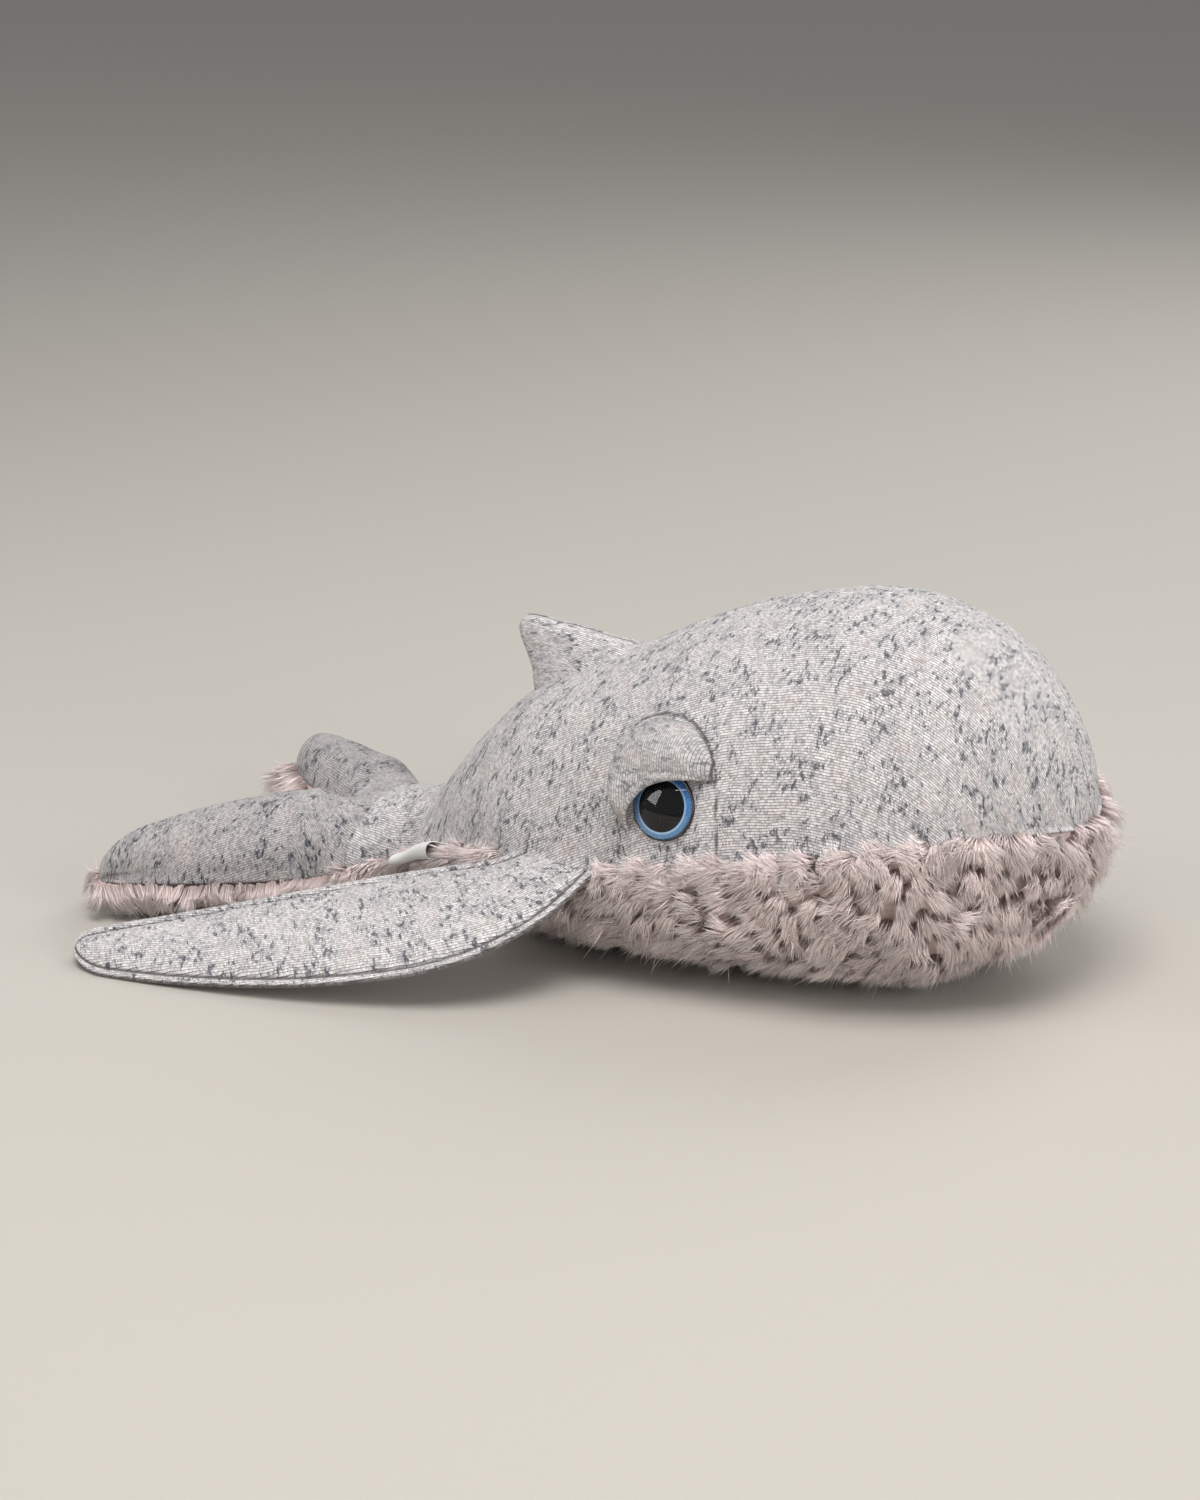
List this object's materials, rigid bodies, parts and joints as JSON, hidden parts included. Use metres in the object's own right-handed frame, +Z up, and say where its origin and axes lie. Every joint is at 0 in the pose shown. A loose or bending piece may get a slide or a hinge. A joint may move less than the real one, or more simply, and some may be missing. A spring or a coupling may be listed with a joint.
{
  "type": "plush whale",
  "caption": "Stuffed whale with a knit back, faux fur belly, safety eyes under padded lids, flapping flippers, a leaning dorsal fin and a bending forked tail.",
  "frame": {"origin": "middle of the flat patch of the belly, on the surface that the whale lies on", "axes": "+X to the nose, +Y to the whale's left, +Z up"},
  "size_m": [0.5416, 0.4428, 0.1974],
  "materials": {
    "knit": "heather grey jersey knit with dark flecks",
    "fur": "tufted faux fur in dusty pink grey",
    "stuffing": "white polyester fibre fill",
    "eye_black": "gloss black",
    "iris": "metallic blue print on the disc",
    "clear": "clear moulded dome",
    "washer": "natural",
    "ribbon": "white woven ribbon, bare"
  },
  "bodies": {
    "torso": {"body_stuffing": "stuffing", "belly_fur_panel": "fur", "right_back_panel": "knit", "left_back_panel": "knit", "label_loop": "ribbon", "right_eye_panel": "knit", "right_eyelid": "knit", "right_eye_cup": "eye_black", "right_iris_disc": "iris", "right_eye_lens": "clear", "right_eye_washer": "washer", "left_eye_panel": "knit", "left_eyelid": "knit", "left_eye_cup": "eye_black", "left_iris_disc": "iris", "left_eye_lens": "clear", "left_eye_washer": "washer"},
    "dorsal_fin": {"dorsal_fin_right_cover": "knit", "dorsal_fin_left_cover": "knit", "dorsal_fin_stuffing": "stuffing"},
    "right_flipper": {"right_flipper_upper_cover": "knit", "right_flipper_lower_cover": "knit", "right_flipper_pad": "stuffing"},
    "left_flipper": {"left_flipper_upper_cover": "knit", "left_flipper_lower_cover": "knit", "left_flipper_pad": "stuffing"},
    "tail_stock": {"tail_neck": "knit"},
    "tail_fork": {"tail_fork_top": "knit", "tail_fork_fur": "fur", "tail_fork_stuffing": "stuffing"},
    "right_fluke": {"right_fluke_top": "knit", "right_fluke_fur": "fur", "right_fluke_stuffing": "stuffing"},
    "left_fluke": {"left_fluke_top": "knit", "left_fluke_fur": "fur", "left_fluke_stuffing": "stuffing"}
  },
  "joints": [
    {"name": "right_flipper_flap", "type": "hinge", "parent": "torso", "child": "right_flipper", "pos_m": [-0.043, -0.10006, 0.06116], "axis": [-0.9722, 0.2334, -0.0192], "range_deg": [-10, 40], "stiffness_Nm_per_rad": 0.15},
    {"name": "left_flipper_flap", "type": "hinge", "parent": "torso", "child": "left_flipper", "pos_m": [-0.043, 0.10006, 0.06116], "axis": [0.9722, 0.2334, 0.0192], "range_deg": [-10, 40], "stiffness_Nm_per_rad": 0.15},
    {"name": "dorsal_fin_lean", "type": "hinge", "parent": "torso", "child": "dorsal_fin", "pos_m": [-0.098, 0, 0.14147], "axis": [0.891, 0, 0.454], "range_deg": [-20, 20], "stiffness_Nm_per_rad": 0.05},
    {"name": "tail_pitch", "type": "hinge", "parent": "torso", "child": "tail_stock", "pos_m": [-0.19, 0, 0.03], "axis": [0, 1, 0], "range_deg": [-25, 35], "stiffness_Nm_per_rad": 1.2},
    {"name": "tail_yaw", "type": "hinge", "parent": "tail_stock", "child": "tail_fork", "pos_m": [-0.19, 0, 0.03], "axis": [0, 0, 1], "range_deg": [-8, 8], "stiffness_Nm_per_rad": 1.2},
    {"name": "right_fluke_flap", "type": "hinge", "parent": "tail_fork", "child": "right_fluke", "pos_m": [-0.2387, -0.037, 0.0245], "axis": [-0.5013, 0.8386, 0.2131], "range_deg": [-15, 15], "stiffness_Nm_per_rad": 0.3},
    {"name": "left_fluke_flap", "type": "hinge", "parent": "tail_fork", "child": "left_fluke", "pos_m": [-0.2387, 0.037, 0.0245], "axis": [0.5013, 0.8386, -0.2131], "range_deg": [-15, 15], "stiffness_Nm_per_rad": 0.3}
  ]
}
